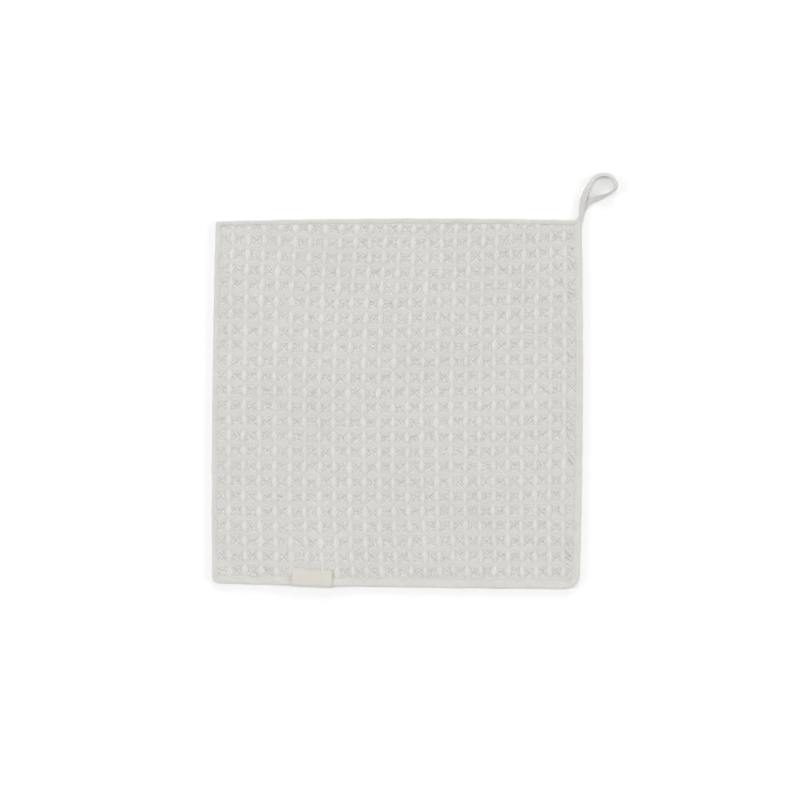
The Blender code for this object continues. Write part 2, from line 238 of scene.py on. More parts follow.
# Loop, from inside the binding round to it again: x, y, width, tilt in degrees, height of its low edge
LOOP_STATIONS = (
    (0.1462, 0.1460, 0.0060, 0, 0.0015),
    (0.1464, 0.1472, 0.0064, 0, 0.0015),
    (0.1469, 0.1483, 0.0064, 0, 0.00145),
    (0.1478, 0.1493, 0.0051, 0, 0.0014),
    (0.1486, 0.1504, 0.0042, 0, 0.0013),
    (0.1491, 0.1520, 0.0039, 0, 0.0012),
    (0.1495, 0.1548, 0.0044, 0, 0.0011),
    (0.1501, 0.1594, 0.0048, 0, 0.0011),
    (0.1509, 0.1639, 0.0051, -4, 0.0011),
    (0.1520, 0.1682, 0.0052, -10, 0.00095),
    (0.1536, 0.1723, 0.0050, -24, 0.0006),
    (0.1555, 0.1761, 0.0048, -36, 0.0003),
    (0.1576, 0.1796, 0.0048, -47, 0.0001),
    (0.1601, 0.1826, 0.0048, -50, 0),
    (0.1634, 0.1844, 0.0048, -50, 0),
    (0.1672, 0.1851, 0.0048, -50, 0),
    (0.1708, 0.1849, 0.0048, -50, 0),
    (0.1738, 0.1832, 0.0048, -47, 0),
    (0.1760, 0.1806, 0.0048, -44, 0),
    (0.1773, 0.1781, 0.0048, -44, 0),
    (0.1775, 0.1755, 0.0048, -50, 0),
    (0.1762, 0.1733, 0.0048, -64, 0),
    (0.1737, 0.1709, 0.0048, -68, 0),
    (0.1702, 0.1688, 0.0048, -65, 0),
    (0.1665, 0.1673, 0.0049, -46, 0),
    (0.1626, 0.1660, 0.0050, -26, 0),
    (0.1586, 0.1647, 0.0051, -10, 0),
    (0.1558, 0.1632, 0.0050, -4, 0.00005),
    (0.1535, 0.1612, 0.0047, 0, 0.00005),
    (0.1514, 0.1578, 0.0044, 0, 0.0001),
    (0.1499, 0.1545, 0.0042, 0, 0.0001),
    (0.1490, 0.1515, 0.0039, 0, 0.00015),
    (0.1484, 0.1500, 0.0044, 0, 0.00025),
    (0.1474, 0.1486, 0.0058, 0, 0.00035),
    (0.1466, 0.1472, 0.0062, 0, 0.0004),
)

# Tape section: share of half the width, share of half the thickness
TAPE_SECTION = (
    (1, 0), (0.97, 0.42), (0.88, 0.74), (0.70, 0.94), (0.42, 1),
    (0.16, 0.93), (0, 0.86), (-0.16, 0.93), (-0.42, 1), (-0.70, 0.94),
    (-0.88, 0.74), (-0.97, 0.42), (-1, 0), (-0.97, -0.42), (-0.88, -0.74),
    (-0.65, -0.96), (0, -1), (0.65, -0.96), (0.88, -0.74), (0.97, -0.42),
)

# Steps of the cloth's mesh: in a cell above and below, and in the margins past the weave
FINE_ABOVE = 10
FINE_BELOW = 6
MARGIN_ABOVE = 12
MARGIN_BELOW = 7
CROWDED_AT_RIBS = 0.50

# Colours, as shares of white in linear light
CLOTH_DARK = (0.566, 0.553, 0.527)
CLOTH_LIGHT = (0.834, 0.821, 0.788)
FLOOR_DARK = (0.95, 0.95, 0.95)
FLOOR_LIGHT = (0.96, 0.96, 0.96)

# Tapes and threads: dark and light colour, depth of the bump, pitch of the yarns in mm, sheen, roughness
TAPES = {
    "binding_tape": ((0.555, 0.544, 0.517), (0.748, 0.735, 0.709), 0.00012, 0.42, 0.12, 0.90),
    "stitch_thread": ((0.585, 0.569, 0.540), (0.766, 0.751, 0.721), 0.00004, 0.20, 0.12, 0.90),
    "loop_tape": ((0.540, 0.529, 0.504), (0.692, 0.680, 0.656), 0.00012, 0.45, 0.12, 0.90),
    "label_weave": ((0.590, 0.572, 0.532), (0.690, 0.669, 0.622), 0.00003, 0.22, 0.05, 0.62),
    "tan_thread": ((0.36, 0.30, 0.22), (0.50, 0.43, 0.33), 0.00003, 0.20, 0.12, 0.90),
}

# Noise in the materials: scale, detail, roughness
CLOTH_FIBRES = (2600.0, 3.0, 0.6)
CLOTH_GRAIN = (1400.0, 2.0, 0.6)
CLOTH_PATCHES = (560.0, 2.0, 0.6)
CLOTH_BROAD = (16.0, 2.0, 0.5)
STAIR_WOBBLE = (420.0, 1.0, 0.5)
PULL_SWAY = (110.0, 1.0, 0.5)
TAPE_FIBRES = (2200.0, 3.0, 0.6)
TAPE_PATCHES = (330.0, 2.0, 0.6)
TAPE_BROAD = (45.0, 2.0, 0.5)
FLOOR_MOTTLE = (3.0, 1.0, 0.4)

# Noise that breaks up the marks: the same, and the span over which it lets them show
BAND_BREAKS = (260.0, 1.0, 0.5, 0.40, 0.60)
STAIR_BREAKS = (130.0, 1.0, 0.5, 0.40, 0.62)
PULL_BREAKS = (75.0, 1.0, 0.5, 0.42, 0.66)

# Spans over which the marks of the cloth come and go, as shares of half a cell
SIDE_TURN = (-0.12, 0.12)
EDGE_SHADE_START = (0.1, 0.5)
BAND_GOES = (0.16, 0.34)
LINE_GOES = (0.02, 0.09)
HOLLOW_COMES = (0.06, 0.52)
PULL_WIDE = (0.02, 0.17)
MARGIN_SPAN = (HOLLOW_COLUMNS + 0.1, HOLLOW_COLUMNS + 0.3)

# The same in pairs: a mark comes over the first span and goes over the second
LENS_SPANS = (0.12, 0.30, 0.80, 1.10)
EDGE_SHADE_SPANS = (0.85, 1.10, 1.20, 1.55)
BAND_EDGE_SPANS = (0.20, 0.30, 0.30, 0.42)
CREASE_SPANS = (0.12, 0.35, 0.02, 0.26)
VALLEY_SPANS = (0.15, 0.45, 0.00, 0.45)
PULL_SPANS = (0.12, 0.25, 0.55, 0.75)

# Shares and measures of the marks
EDGE_SHADE_RIGHT = 0.6
VALLEY_SHARE = 0.55
MARGIN_SHARE = 0.35
STAIR_SWING = 0.5
PULLS_A_CELL = 2.0
PULL_SLANT = 1.9
PULL_SWING = 1.4
SPECKLE_LEAST = 0.17
SPECKLE_MORE = 1.05
YARNS_MEAN = 0.6

# Fine relief of the cloth: its depth, and the fibres, patches and creases as shares of the yarns
CLOTH_BUMP = 0.00025
FIBRES_HIGH = 0.6
PATCHES_HIGH = 3.0
PULLS_DEEP = 2.5

# How strongly each mark lightens or darkens the cloth; the swellings' highlight, the bands' shade, lit
# edges and crest, and the shade round the swellings, in creases, hollows and pulled creases are painted
# light and shade
TONE_MIDDLE = 0.5
LENS_HIGHLIGHT = 0.17
LENS_LEFT_HIGHLIGHT = 0.05
LENS_EDGE_SHADE = 0.22
BAND_SHADE = -0.03
BAND_EDGE_HIGHLIGHT = 0.09
BAND_CREST_HIGHLIGHT = 0.03
CREASE_SHADE = 0.19
TONE_STAIRS = 0.46
HOLLOW_SHADE = 0.05
TONE_SPECKLE = 2.0
TONE_GRAIN = 4.6
TONE_BROAD = 0.20
TONE_YARNS = 0.14
PULL_CREASE_SHADE = 0.14
YARNS_A_CELL = 11
STAIR_LONG = 0.45

# Camera and light
CAMERA_AT = (-0.01170, -0.01592, 1.8012)
CAMERA_LENS = 100
CAMERA_SENSOR = 36
CAMERA_NEAR = 0.05
CAMERA_FAR = 20
FLOOR_SIZE = 14
FLOOR_DROP = 0.0003
WINDOW_AT = (-3.0, 2.4, 11.5)
WINDOW_SIZE = 8.0
WINDOW_POWER = 400
WORLD_LIGHT = 0.523

# Low lights all round, for the soft shadow beside the edges: direction in degrees, power
LOW_LIGHTS = ((0, 300), (90, 280), (180, 265), (270, 55))
LOW_LIGHT_AWAY = 10.0
LOW_LIGHT_RISE = 20
LOW_LIGHT_SIZE = 3.0

# Shared by both rows of stitches, which draw from it in turn
random = np.random.default_rng(7)


# Small sums

def limited(value):
    """Shares kept between 0 and 1."""
    return np.clip(value, 0.0, 1.0)


def mix(first, second, share):
    """Values between two others."""
    return first + (second - first) * share


def eased(value):
    """Shares with a soft start and end."""
    share = limited(value)
    return share * share * (3 - 2 * share)


def wander(along, size, seed, shortest, longest):
    """A smooth random line, mostly between -size and size, the same at each run."""
    own = np.random.default_rng(seed)
    total = np.zeros_like(along, dtype=float)
    for _ in range(LINE_WAVES):
        length = own.uniform(shortest, longest)
        total += np.sin(2 * math.pi * (along / length + own.random()))
    return size * (total / math.sqrt(LINE_WAVES))


def field(across, up, size, seed, shortest, longest):
    """A smooth random surface, mostly between -size and size, the same at each run."""
    own = np.random.default_rng(seed)
    total = np.zeros(np.broadcast(across, up).shape)
    for _ in range(FIELD_WAVES):
        length = own.uniform(shortest, longest)
        turn = own.uniform(0, 2 * math.pi)
        start = own.uniform(0, 2 * math.pi)
        line = across * math.cos(turn) + up * math.sin(turn)
        total += np.sin(2 * math.pi * line / length + start)
    return size * (total / math.sqrt(FIELD_WAVES))


def lengths_along(x, y):
    """Distance along a line at each of its points."""
    steps = np.hypot(np.diff(x), np.diff(y))
    return np.concatenate([[0], np.cumsum(steps)])


# The towel as it lies

def place(across, up):
    """Points of the towel as it lies, from their distances to the left and bottom edges."""
    u = np.asarray(across, float) / TOWEL_WIDE
    v = np.asarray(up, float) / TOWEL_TALL
    spot = []
    for axis in (0, 1):
        low = mix(BOTTOM_LEFT[axis], BOTTOM_RIGHT[axis], u)
        high = mix(TOP_LEFT[axis], TOP_RIGHT[axis], u)
        spot.append(mix(low, high, v))
    x = spot[0] + 4 * v * (1 - v) * mix(-BOW_LEFT, BOW_RIGHT, u)
    y = spot[1] + 4 * u * (1 - u) * mix(-BOW_BOTTOM, BOW_TOP, v)
    return x, y


def label_share(x, y):
    """How fully points lie over the label: 1 on it, falling to 0 a little way off."""
    middle = (LABEL_LEFT_END[0] + LABEL_RIGHT_END[0]) / 2
    half = (LABEL_RIGHT_END[0] - LABEL_LEFT_END[0]) / 2
    beside = 1 - (np.abs(x - middle) - half - LABEL_BESIDE) / LABEL_RAMP
    above = 1 - (y - LABEL_LEFT_END[1] - LABEL_REACH_UP - LABEL_BESIDE) / LABEL_ABOVE
    return limited(beside) * limited(above)


def corner_radius(across, up):
    """The rounding of the corner nearest to each point."""
    low = np.where(across < TOWEL_WIDE / 2, RADIUS_BOTTOM_LEFT, RADIUS_BOTTOM_RIGHT)
    high = np.where(across < TOWEL_WIDE / 2, RADIUS_TOP_LEFT, RADIUS_TOP_RIGHT)
    return np.where(up < TOWEL_TALL / 2, low, high)


def rounded(across, up):
    """Points near a square corner, drawn in to its rounding."""
    radius = corner_radius(across, up)
    right = across > TOWEL_WIDE / 2
    high = up > TOWEL_TALL / 2
    side = np.where(right, TOWEL_WIDE - across, across)
    end = np.where(high, TOWEL_TALL - up, up)
    p = radius - side
    q = radius - end
    most = np.maximum(p, q)
    inside = (p > 0) & (q > 0)
    length = np.sqrt(np.maximum(p * p + q * q, 1e-12))
    shrink = np.where(inside, mix(1.0, most / length, limited(most / radius)), 1.0)
    side = np.where(inside, radius - p * shrink, side)
    end = np.where(inside, radius - q * shrink, end)
    return np.where(right, TOWEL_WIDE - side, side), np.where(high, TOWEL_TALL - end, end)


def row_ends(across):
    """Distances to the bottom edge of the first and last row lines."""
    u = across / TOWEL_WIDE
    first = TOWEL_TALL - FIRST_ROW_MIDDLE + FIRST_ROW_BOW * (1 - np.sin(math.pi * u))
    last = LAST_ROW_LEFT + LAST_ROW_DROP * u * u
    return first, last


def rib_shift(across, row):
    """How far the upright and the level ribs lie from an even spacing, as shares of a cell."""
    u = across / TOWEL_WIDE
    from_middle = 2 * row / HOLLOW_ROWS - 1
    swell = np.sin(math.pi * u) * (COLUMNS_SWELL + COLUMNS_BOW * from_middle * from_middle)
    return COLUMNS_BACK + swell, ROWS_SLANT * np.cos(ROWS_TURN * math.pi * u)


def weave_place(across, up):
    """Where points lie in the weave: whole numbers are ribs, halves are hollows."""
    first, last = row_ends(across)
    row = (first - up) / (first - last) * HOLLOW_ROWS
    columns_over, rows_over = rib_shift(across, row)
    column = (across - FIRST_RIB) / RIB_PITCH - columns_over
    row = row - rows_over
    for share, column_seed, row_seed, *span in WEAVE_DRIFT:
        column = column + field(across, up, share, column_seed, *span)
        row = row + field(across, up, share, row_seed, *span)
    return column, row


def seam_depth(across, up):
    """How far inside the binding points are."""
    return np.minimum(
        np.minimum(across - BINDING_LEFT, TOWEL_WIDE - across - BINDING_RIGHT),
        np.minimum(up - BINDING_BOTTOM, TOWEL_TALL - up - BINDING_TOP),
    )


def relief_share(across, up):
    """How deep the weave is: flat at the binding and pressed under the label."""
    x, y = place(across, up)
    covered = eased((label_share(x, y) - PRESSED_FROM) / (1 - PRESSED_FROM))
    pressed = mix(1.0, PRESSED_BY_LABEL, covered)
    return pressed * eased((seam_depth(across, up) - RELIEF_FROM) / RELIEF_FADE)


def cell_shares(column, row):
    """Nearness to the upright and the level ribs: 1 on a rib, 0 in the middle of a hollow."""
    near_upright = np.abs(2 * (column - np.floor(column)) - 1)
    near_level = np.abs(2 * (row - np.floor(row)) - 1)
    return near_upright, near_level


def per_cell(column, row, size, seed):
    """One random number from -size to size for each cell."""
    numbers = np.random.default_rng(seed).uniform(-1, 1, (RANDOM_CELLS, RANDOM_CELLS))
    cell = [np.floor(value).astype(int) % RANDOM_CELLS for value in (column, row)]
    return size * numbers[cell[0], cell[1]]


def rib_heights(column, row, near_upright, near_level):
    """Ribs with soft sides, and hollows of uneven depth between them."""
    most = limited(np.maximum(near_upright / UPRIGHT_FLAT, near_level / LEVEL_FLAT))
    low = HOLLOW_TOP + per_cell(column, row, *HOLLOW_VARIES) * (1 - eased(most))
    return mix(low, RIB_TOP, mix(most, eased(most), RIB_EASED))


def lens_heights(column, row, near_level):
    """The pointed swelling on each upright rib between two level ones."""
    own_wide = 1 + per_cell(column + 0.5, row, *LENS_WIDE_VARIES)
    own_arch = 1 + per_cell(column + 0.5, row, *LENS_ARCH_VARIES)
    opened = limited((1 - near_level - LENS_FROM) / (1 - LENS_FROM))
    half = LENS_WIDE * own_wide * opened ** LENS_POINTED + LENS_TIP
    aside = (column - np.round(column)) / half
    swelling = np.sqrt(limited(1 - aside * aside)) * eased(opened * 2)
    return LENS_ARCH * own_arch * swelling


def beside_seam(depth, start, full_to, fade):
    """A share that comes up from the seam, stays full to a depth and fades further in."""
    return eased(depth / start) * (1 - eased((depth - full_to) / fade))


def seam_heights(across, up):
    """Slanted gathers beside the seam, deeper on the right, and a small rise along it."""
    depth = seam_depth(across, up)
    slant = (up + (TOWEL_WIDE - across) * PUCKER_SLANT) / PUCKER_PITCH
    pucker = PUCKER_DEEP * np.sin(2 * math.pi * slant + field(across, up, *PUCKER_SWING))
    on_right = eased((across - TOWEL_WIDE / 2) / PUCKER_SIDE)
    pucker = pucker * beside_seam(depth, *PUCKER_SPAN) * mix(PUCKER_LEFT, 1.0, on_right)
    return pucker + SEAM_RISE * beside_seam(depth, *SEAM_RISE_SPAN)


def height_above(across, up, column, row):
    """The upper side's height: ribs, hollows between them and pointed swellings."""
    near_upright, near_level = cell_shares(column, row)
    height = rib_heights(column, row, near_upright, near_level)
    height = height + lens_heights(column, row, near_level)
    height = height + field(across, up, *UNEVEN_TOP)
    return mix(EDGE_TOP, height, relief_share(across, up)) + seam_heights(across, up)


def height_below(across, up, column, row):
    """The under side's height: the same weave half a cell over, resting on its ribs."""
    near_upright, near_level = cell_shares(column + 0.5, row + 0.5)
    base = eased(np.maximum(near_upright, near_level) / UNDER_FLAT)
    height = mix(HOLLOW_UNDER, RIB_UNDER, base)
    return mix(EDGE_UNDER, height, relief_share(across, up))


# Meshes

def add_mesh(name, points, faces, material, uvs=None, smooth=True):
    """A piece from points in the towel's own frame, with one uv pair a point."""
    points = np.asarray(points, float)
    points[:, 0] -= MIDDLE[0]
    points[:, 1] -= MIDDLE[1]
    mesh = bpy.data.meshes.new(name)
    mesh.from_pydata(points.tolist(), [], [tuple(int(i) for i in face) for face in faces])
    mesh.validate()
    if uvs is not None:
        layer = mesh.uv_layers.new(name="weave")
        corners = np.empty(len(mesh.loops), dtype=np.int32)
        mesh.loops.foreach_get("vertex_index", corners)
        layer.data.foreach_set("uv", np.asarray(uvs, float)[corners].ravel())
    mesh.polygons.foreach_set("use_smooth", [smooth] * len(mesh.polygons))
    mesh.materials.append(material)
    mesh.update()
    obj = bpy.data.objects.new(name, mesh)
    bpy.context.scene.collection.objects.link(obj)
    return obj


def grid_faces(rows, columns, start, turned=False):
    """Faces of a grid of points kept row by row."""
    faces = []
    for row in range(rows - 1):
        for column in range(columns - 1):
            corner = start + row * columns + column
            face = (corner, corner + 1, corner + columns + 1, corner + columns)
            faces.append(face[::-1] if turned else face)
    return faces


def ring_faces(rings, count, closed=False):
    """Faces between rings of count points each; where closed, the last ring joins the first."""
    faces = []
    for ring in range(rings if closed else rings - 1):
        here = ring * count
        beyond = (ring + 1) % rings * count
        for number in range(count):
            following = (number + 1) % count
            faces.append((here + number, here + following, beyond + following, beyond + number))
    return faces


def rim_of(rows, columns, start):
    """The four sides of a grid's rim, counter-clockwise, each with both its corners."""
    grid = np.arange(start, start + rows * columns).reshape(rows, columns)
    return grid[0], grid[:, -1], grid[-1, ::-1], grid[::-1, 0]


def zip_sides(first, second):
    """Triangles between two sides that run alongside but differ in their number of points."""
    faces = []
    at_first = 0
    at_second = 0
    last_first = len(first) - 1
    last_second = len(second) - 1
    while at_first < last_first or at_second < last_second:
        here = (first[at_first], second[at_second])
        if (at_first + 1) / last_first <= (at_second + 1) / last_second:
            at_first += 1
            faces.append((*here, first[at_first]))
        else:
            at_second += 1
            faces.append((*here, second[at_second]))
    return faces


def cell_steps(cells, steps):
    """Counts of cells from 0 to the last rib, in steps that are closer together at the ribs."""
    share = np.arange(steps) / steps
    share = share - CROWDED_AT_RIBS * np.sin(2 * math.pi * share) / (2 * math.pi)
    return np.concatenate([number + share for number in range(cells)] + [[cells]])


def face_grid(fine, margin):
    """Distances to the left and bottom edges of a grid of points that follows the weave."""
    inner = FIRST_RIB + cell_steps(HOLLOW_COLUMNS, fine) * RIB_PITCH
    before = np.linspace(CLOTH_IN_BINDING, FIRST_RIB, margin + 1)[:-1]
    after = np.linspace(inner[-1], TOWEL_WIDE - CLOTH_IN_BINDING, margin // 2 + 1)[1:]
    across = np.concatenate([before, inner, after])
    rows = cell_steps(HOLLOW_ROWS - 1, fine)
    first, last = row_ends(across)
    middle = first[None, :] + (last - first)[None, :] * (rows[:, None] / HOLLOW_ROWS)
    share = np.linspace(0, 1, margin + 1)[:-1, None]
    above = mix(TOWEL_TALL - CLOTH_IN_BINDING, middle[0][None, :], share)
    share = np.linspace(0, 1, margin + fine // 2 + 1)[1:, None]
    under = mix(middle[-1][None, :], CLOTH_IN_BINDING, share)
    up = np.concatenate([above, middle, under])[::-1]
    across = np.broadcast_to(across, up.shape)
    row = (first - up) / (first - last) * HOLLOW_ROWS
    columns_over, rows_over = rib_shift(across, row)
    inside = limited((seam_depth(across, up) - SHIFT_FROM) / SHIFT_FADE)
    across = across + inside * columns_over * RIB_PITCH
    up = up - inside * rows_over * (first - last) / HOLLOW_ROWS
    return across, up


def cloth_points(fine, margin, height_at):
    """Points and weave places of one side of the cloth, and the grid's numbers of rows and columns."""
    across, up = face_grid(fine, margin)
    across, up = rounded(across, up)
    column, row = weave_place(across, up)
    x, y = place(across, up)
    z = height_at(across, up, column, row) + LABEL_LIFT * label_share(x, y)
    points = np.stack([x, y, z], axis=-1).reshape(-1, 3)
    uvs = np.stack([column, row], axis=-1).reshape(-1, 2)
    return points, uvs, across.shape


def waffle_panel(material):
    """The cloth, one closed body with the weave on both its sides."""
    top, top_uvs, top_shape = cloth_points(FINE_ABOVE, MARGIN_ABOVE, height_above)
    under, under_uvs, under_shape = cloth_points(FINE_BELOW, MARGIN_BELOW, height_below)
    start = len(top)
    faces = grid_faces(*top_shape, 0)
    faces += grid_faces(*under_shape, start, turned=True)
    for first, second in zip(rim_of(*top_shape, 0), rim_of(*under_shape, start)):
        faces += zip_sides(first, second)
    points = np.concatenate([top, under])
    uvs = np.concatenate([top_uvs, under_uvs + 0.5])
    return add_mesh("waffle_cloth_body", points, faces, material, uvs)


def corner_arc(corner, inward, radius, first_angle):
    """Points round one corner, counter-clockwise; inward is the direction to the towel's middle."""
    angle = np.radians(first_angle + 90 * np.arange(CORNER_STEPS + 1) / CORNER_STEPS)
    across = corner[0] + inward[0] * radius + radius * np.cos(angle)
    up = corner[1] + inward[1] * radius + radius * np.sin(angle)
    return across, up


def edge_line(share, further):
    """Distances across and up of points round the towel, at one distance in from its edge."""
    left = share * BINDING_LEFT + further
    right = TOWEL_WIDE - share * BINDING_RIGHT - further
    low = share * BINDING_BOTTOM + further
    high = TOWEL_TALL - share * BINDING_TOP - further
    depth = further + share * (BINDING_LEFT + BINDING_BOTTOM) / 2
    corners = (
        ((left, low), (1, 1), RADIUS_BOTTOM_LEFT, 180),
        ((right, low), (-1, 1), RADIUS_BOTTOM_RIGHT, 270),
        ((right, high), (-1, -1), RADIUS_TOP_RIGHT, 0),
        ((left, high), (1, -1), RADIUS_TOP_LEFT, 90),
    )
    arcs = []
    for corner, inward, radius, first_angle in corners:
        arcs.append(corner_arc(corner, inward, max(SMALLEST_RADIUS, radius - depth), first_angle))
    share_along = np.arange(1, SIDE_STEPS) / SIDE_STEPS
    parts = []
    for arc, following in zip(arcs, arcs[1:] + arcs[:1]):
        side = [mix(own[-1], beyond[0], share_along) for own, beyond in zip(arc, following)]
        parts += [arc, side]
    return [np.concatenate(line) for line in zip(*parts)]


def binding_wander(share, length):
    """Small uneven steps of the binding's edges."""
    return wander(length, *(OUTER_WANDER if share < 0.5 else SEAM_WANDER))


def binding_height(share, length):
    """The gathers of the binding's upper leaf: the stitches pull it down at an even pitch."""
    pulled = np.cos(2 * math.pi * length / STITCH_PITCH)
    uneven_pull = 1 + wander(length, *GATHER_VARIES)
    return share * (GATHER_DEEP * pulled * uneven_pull + wander(length, *BINDING_SWELL))


def edge_binding(material):
    """The tape folded over all four edges."""
    length = lengths_along(*place(*edge_line(0.5, 0)))
    points = []
    uvs = []
    girth = 0.0
    before = None
    for share, further, height, wandering, gathered in BINDING_SECTION:
        inward = binding_wander(share, length) * wandering
        towards = place(*edge_line(share, further + INWARD_STEP))
        x, y = place(*edge_line(share, further))
        x = x + (towards[0] - x) * inward / INWARD_STEP
        y = y + (towards[1] - y) * inward / INWARD_STEP
        z = height + binding_height(gathered, length) + LABEL_LIFT * label_share(x, y)
        points.append(np.stack([x, y, z], axis=-1))
        if before:
            step = (share - before[0]) * BINDING_MEAN + further - before[1]
            girth += math.hypot(step, height - before[2])
        before = (share, further, height)
        uvs.append(np.stack([length * 1000, np.full_like(length, girth * 1000)], axis=-1))
    faces = ring_faces(len(BINDING_SECTION), len(length), closed=True)
    return add_mesh("edge_binding_tape", np.concatenate(points), faces, material, np.concatenate(uvs))


def rod(start, end, radius):
    """Points and faces of a short thread between two points, sunk at its ends."""
    start = np.array(start, float)
    end = np.array(end, float)
    run = end - start
    side = np.cross(run, (0, 0, 1))
    side = side / np.linalg.norm(side)
    out = np.cross(side, run / np.linalg.norm(run))
    points = []
    for share, size, sink in ROD_RINGS:
        centre = start + run * share - out * radius * sink
        for number in range(ROD_SIDES):
            angle = 2 * math.pi * number / ROD_SIDES
            points.append(centre + (side * math.cos(angle) + out * math.sin(angle)) * radius * size)
    faces = ring_faces(len(ROD_RINGS), ROD_SIDES)
    faces.append(tuple(range(ROD_SIDES))[::-1])
    faces.append(tuple(range(len(points) - ROD_SIDES, len(points))))
    return points, faces


def add_rods(name, rods, material):
    """One piece from many short threads."""
    points = []
    faces = []
    for own_points, own_faces in rods:
        shift = len(points)
        points += own_points
        faces += [tuple(number + shift for number in face) for face in own_faces]
    return add_mesh(name, points, faces, material)


def binding_stitches(material):
    """The row of stitches that holds the binding, above and below."""
    x, y = place(*edge_line(STITCH_SHARE, 0))
    x = np.append(x, x[0])
    y = np.append(y, y[0])
    length = lengths_along(x, y)
    total = length[-1]
    count = round(total / STITCH_PITCH)
    rods = []
    for number in range(count):
        middle = (number + 0.5) * total / count
        shift = random.normal(0, STITCH_ASTRAY, 2)
        at = np.array((middle - STITCH_LONG / 2, middle + STITCH_LONG / 2)) % total
        own_x = np.interp(at, length, x)
        own_y = np.interp(at, length, y)
        lift = LABEL_LIFT * label_share(own_x, own_y)
        for height in (STITCH_ABOVE, STITCH_BELOW):
            ends = np.stack([own_x + shift[0], own_y + shift[1], height + lift], axis=-1)
            rods.append(rod(ends[0], ends[1], STITCH_THICK / 2))
    return add_rods("binding_stitch_thread", rods, material)


def label_frame():
    """The label's left end, its directions along the edge and into the towel, and its length."""
    along = LABEL_RIGHT_END - LABEL_LEFT_END
    long = float(np.hypot(*along))
    along = along / long
    return LABEL_LEFT_END, along, np.array((-along[1], along[0])), long


def label_ring():
    """The label's section as a closed ring, and the distance round the strip at each of its points."""
    line = np.array(LABEL_LINE)
    fine = []
    for first, second in zip(line, line[1:]):
        fine += [mix(first, second, share) for share in (0, 0.5)]
    line = np.array(fine + [line[-1]])
    slope = np.gradient(line, axis=0)
    normal = np.stack([-slope[:, 1], slope[:, 0]], axis=-1)
    normal = -normal / np.linalg.norm(normal, axis=1)[:, None]
    girth = lengths_along(line[:, 0], line[:, 1])
    ring = np.concatenate([line + normal * LABEL_THICK / 2, (line - normal * LABEL_THICK / 2)[::-1]])
    return ring, np.concatenate([girth, girth[::-1]])


def folded_label(material):
    """The label: a thin woven strip folded over the edge, bare."""
    origin, along, inward, long = label_frame()
    ring, ring_girth = label_ring()
    points = []
    uvs = []
    for step in range(LABEL_STEPS + 1):
        share = step / LABEL_STEPS
        wave = LABEL_WAVE * math.sin(2 * math.pi * (1.4 * share + 0.1)) + LABEL_RIPPLE * math.sin(9 * share)
        slant = LABEL_SLANT * math.sin(5 * share + 1)
        for (distance, height), around in zip(ring, ring_girth):
            high = limited((height - LABEL_WAVE_FROM) / LABEL_WAVE_RAMP)
            further = distance + slant * limited(distance / LABEL_REACH_UP)
            spot = origin + along * (long * share) + inward * further
            points.append((spot[0], spot[1], max(LABEL_LOWEST, height + wave * high)))
            uvs.append((long * share * 1000, around * 1000))
    count = len(ring)
    faces = ring_faces(LABEL_STEPS + 1, count)
    for start in (0, LABEL_STEPS * count):
        for number in range(count // 2 - 1):
            near = start + number
            far = start + count - 1 - number
            face = (near, near + 1, far - 1, far)
            faces.append(face if start else face[::-1])
    return add_mesh("folded_label_strip", points, faces, material, uvs)


def label_stitches(material):
    """Small tan stitches over the label's upper end."""
    origin, along, inward, long = label_frame()
    rods = []
    count = int(long / LABEL_STITCH_PITCH)
    for number in range(count):
        start = (number + 0.5) * long / count + random.normal(0, LABEL_STITCH_ASTRAY)
        lean = random.normal(0, LABEL_STITCH_LEAN)
        ends = []
        for (past, height), shift in ((LABEL_STITCH_LOW, lean), (LABEL_STITCH_HIGH, 0)):
            spot = origin + along * (start + shift) + inward * (LABEL_REACH_UP + past)
            ends.append((spot[0], spot[1], height))
        rods.append(rod(ends[0], ends[1], LABEL_STITCH_RADIUS))
    return add_rods("label_stitch_thread", rods, material)


def smooth_value(values, share):
    """A value on the smooth curve through four evenly spaced ones, between the middle two."""
    before, first, second, after = values
    slope_in = (second - before) / 2
    slope_out = (after - first) / 2
    square = share * share
    cube = square * share
    start = slope_in * (cube - 2 * square + share)
    end = slope_out * (cube - square)
    return first + start + end + (second - first) * (3 * square - 2 * cube)


def loop_path():
    """Closely spaced stations along the loop tape."""
    last = len(LOOP_STATIONS) - 1
    path = []
    for number in range(last):
        around = [LOOP_STATIONS[min(last, max(0, number + shift))] for shift in (-1, 0, 1, 2)]
        for step in range(STATION_STEPS):
            share = step / STATION_STEPS
            path.append([smooth_value(column, share) for column in zip(*around)])
    path.append(list(LOOP_STATIONS[last]))
    return np.array(path)


def loop_headings(path):
    """The way the tape runs at each station: straight up or down in the stem."""
    padded = np.concatenate([path[:1], path, path[-1:]])[:, :2]
    heading = padded[2:] - padded[:-2]
    heading = heading / np.linalg.norm(heading, axis=1)[:, None]
    for number, station in enumerate(path):
        if station[1] < STEM_TOP:
            heading[number] = (0, math.copysign(1, heading[number][1]))
    return heading


